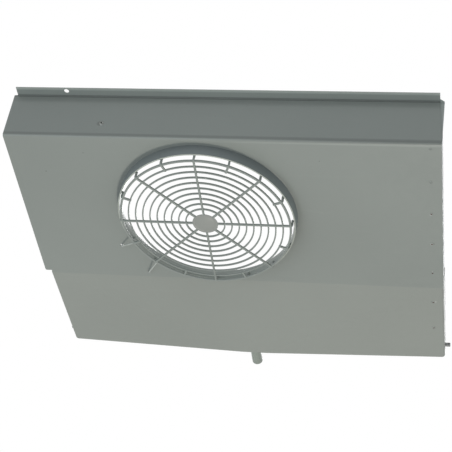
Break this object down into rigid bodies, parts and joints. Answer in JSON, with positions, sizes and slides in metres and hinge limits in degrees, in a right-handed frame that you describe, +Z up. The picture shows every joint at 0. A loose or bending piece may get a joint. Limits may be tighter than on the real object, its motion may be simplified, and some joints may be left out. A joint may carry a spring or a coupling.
{
  "type": "unit cooler bottom tray",
  "caption": "Folded sheet bottom tray of a slim ceiling air cooler: a pressed fan collar under a round wire guard, and behind it a shallow drain pan with a rear pipe outlet.",
  "frame": {"origin": "on the fan axis, at the middle of the fan throat's cylindrical land", "axes": "+X along the tray to the right seen from the front, +Y back towards the drain outlet, +Z up into the cooler along the fan axis; the deck is level"},
  "size_m": [0.797, 0.6785, 0.1311],
  "materials": {
    "painted_sheet": "satin",
    "coated_wire": "satin",
    "painted_pipe": "satin",
    "pin_steel": "zinc plated",
    "rivet_alloy": "plain"
  },
  "bodies": {
    "root": {"fan_deck": "painted_sheet", "drain_pan": "painted_sheet", "right_side_rail": "painted_sheet", "left_side_rail": "painted_sheet", "right_pan_rail": "painted_sheet", "left_pan_rail": "painted_sheet", "guard_hub": "coated_wire", "drain_stub": "painted_pipe", "hinge_pin_right": "pin_steel", "hinge_pin_left": "pin_steel", "apron_screw": "pin_steel", "rivets_deck_right": "rivet_alloy", "rivets_pan_right": "rivet_alloy", "rivets_seam": "rivet_alloy", "guard_rings": "coated_wire", "guard_spoke_1": "coated_wire", "guard_spoke_2": "coated_wire", "guard_spoke_3": "coated_wire", "guard_spoke_4": "coated_wire", "guard_spoke_5": "coated_wire", "guard_spoke_6": "coated_wire", "guard_spoke_7": "coated_wire", "guard_spoke_8": "coated_wire", "guard_stub_1": "coated_wire", "guard_stub_2": "coated_wire", "guard_stub_3": "coated_wire", "guard_stub_4": "coated_wire", "guard_stub_5": "coated_wire", "guard_stub_6": "coated_wire", "guard_stub_7": "coated_wire", "guard_stub_8": "coated_wire", "guard_leg_rear": "coated_wire", "guard_leg_side": "coated_wire"}
  },
  "joints": []
}
